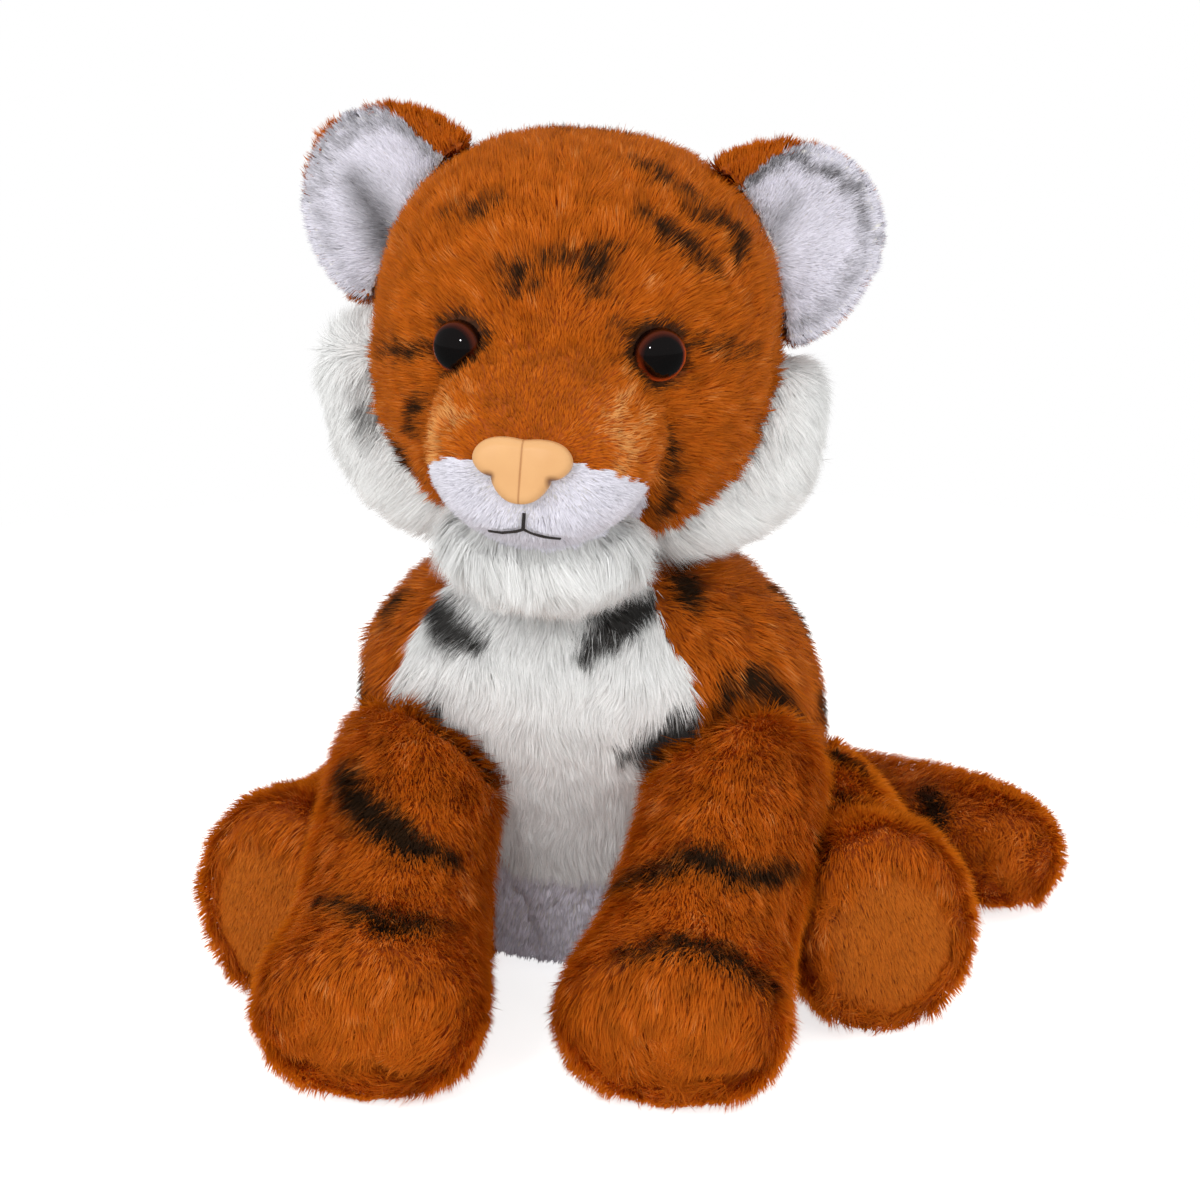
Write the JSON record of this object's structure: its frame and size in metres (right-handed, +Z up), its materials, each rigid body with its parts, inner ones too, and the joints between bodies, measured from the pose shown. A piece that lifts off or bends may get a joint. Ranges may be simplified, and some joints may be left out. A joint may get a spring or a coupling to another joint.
{
  "type": "plush tiger",
  "caption": "Seated plush tiger with sewn covers over filling, a head that turns and nods, ears that fold, legs that lift and a tail that wags.",
  "frame": {"origin": "on the flat of the seat, near its middle, at floor level", "axes": "+Z up; the toy faces -Y; +X is the toy's own left"},
  "size_m": [0.2627, 0.2567, 0.2741],
  "materials": {
    "orange_plush": "matte",
    "white_long_plush": "matte",
    "white_short_plush": "matte",
    "sole_plush": "matte",
    "fibre_filling": "matte",
    "plastic_pellets": "matte",
    "eye_plastic": "gloss",
    "nose_plastic": "satin",
    "washer_plastic": "matte",
    "black_thread": "matte"
  },
  "bodies": {
    "torso": {"back_skin": "orange_plush", "chest_bib": "white_long_plush", "belly_panel": "white_short_plush", "body_stuffing": "fibre_filling", "pellet_bag": "plastic_pellets"},
    "neck": {"neck_stuffing": "fibre_filling"},
    "head": {"face_skin": "orange_plush", "muzzle_skin": "white_short_plush", "chin_skin": "white_long_plush", "cheek_ruff_l": "white_long_plush", "cheek_ruff_r": "white_long_plush", "head_stuffing": "fibre_filling", "eye_l": "eye_plastic", "eye_r": "eye_plastic", "eye_washer_l": "washer_plastic", "eye_washer_r": "washer_plastic", "nose": "nose_plastic", "nose_washer": "washer_plastic", "mouth_stitching": "black_thread"},
    "ear_l": {"ear_front_l": "white_short_plush", "ear_back_l": "orange_plush"},
    "ear_r": {"ear_front_r": "white_short_plush", "ear_back_r": "orange_plush"},
    "front_leg_l": {"front_leg_skin_l": "orange_plush", "front_leg_stuffing_l": "fibre_filling"},
    "front_leg_r": {"front_leg_skin_r": "orange_plush", "front_leg_stuffing_r": "fibre_filling"},
    "hind_leg_l": {"hind_leg_skin_l": "orange_plush", "sole_pad_l": "sole_plush", "hind_leg_stuffing_l": "fibre_filling"},
    "hind_leg_r": {"hind_leg_skin_r": "orange_plush", "sole_pad_r": "sole_plush", "hind_leg_stuffing_r": "fibre_filling"},
    "tail": {"tail_skin": "orange_plush", "tail_stuffing": "fibre_filling"}
  },
  "joints": [
    {"name": "head_turn", "type": "hinge", "parent": "torso", "child": "neck", "pos_m": [-0.002, 0.002, 0.139], "axis": [0, 0, 1], "range_deg": [-30, 30]},
    {"name": "head_nod", "type": "hinge", "parent": "neck", "child": "head", "pos_m": [-0.002, 0.002, 0.139], "axis": [0.9915, 0.1042, -0.0785], "range_deg": [-20, 10]},
    {"name": "ear_fold_l", "type": "hinge", "parent": "head", "child": "ear_l", "pos_m": [0.05207, 0.00582, 0.2307], "axis": [-0.4438, -0.0466, 0.8949], "range_deg": [-15, 20], "stiffness_Nm_per_rad": 0.03},
    {"name": "ear_fold_r", "type": "hinge", "parent": "head", "child": "ear_r", "pos_m": [-0.05402, -0.00533, 0.23909], "axis": [-0.5775, -0.0607, -0.8141], "range_deg": [-15, 20], "stiffness_Nm_per_rad": 0.03},
    {"name": "front_leg_swing_l", "type": "hinge", "parent": "torso", "child": "front_leg_l", "pos_m": [0.05, -0.022, 0.082], "axis": [-1, 0, 0], "range_deg": [0, 40]},
    {"name": "front_leg_swing_r", "type": "hinge", "parent": "torso", "child": "front_leg_r", "pos_m": [-0.038, -0.022, 0.082], "axis": [-1, 0, 0], "range_deg": [0, 40]},
    {"name": "hind_leg_swing_l", "type": "hinge", "parent": "torso", "child": "hind_leg_l", "pos_m": [0.048, 0.036, 0.036], "axis": [-0.7431, 0, 0.6691], "range_deg": [0, 22]},
    {"name": "hind_leg_swing_r", "type": "hinge", "parent": "torso", "child": "hind_leg_r", "pos_m": [-0.04, 0.036, 0.036], "axis": [-0.7431, 0, -0.6691], "range_deg": [0, 22]},
    {"name": "tail_wag", "type": "hinge", "parent": "torso", "child": "tail", "pos_m": [0.008, 0.064, 0.022], "axis": [0, 0, 1], "range_deg": [-6, 30]}
  ]
}
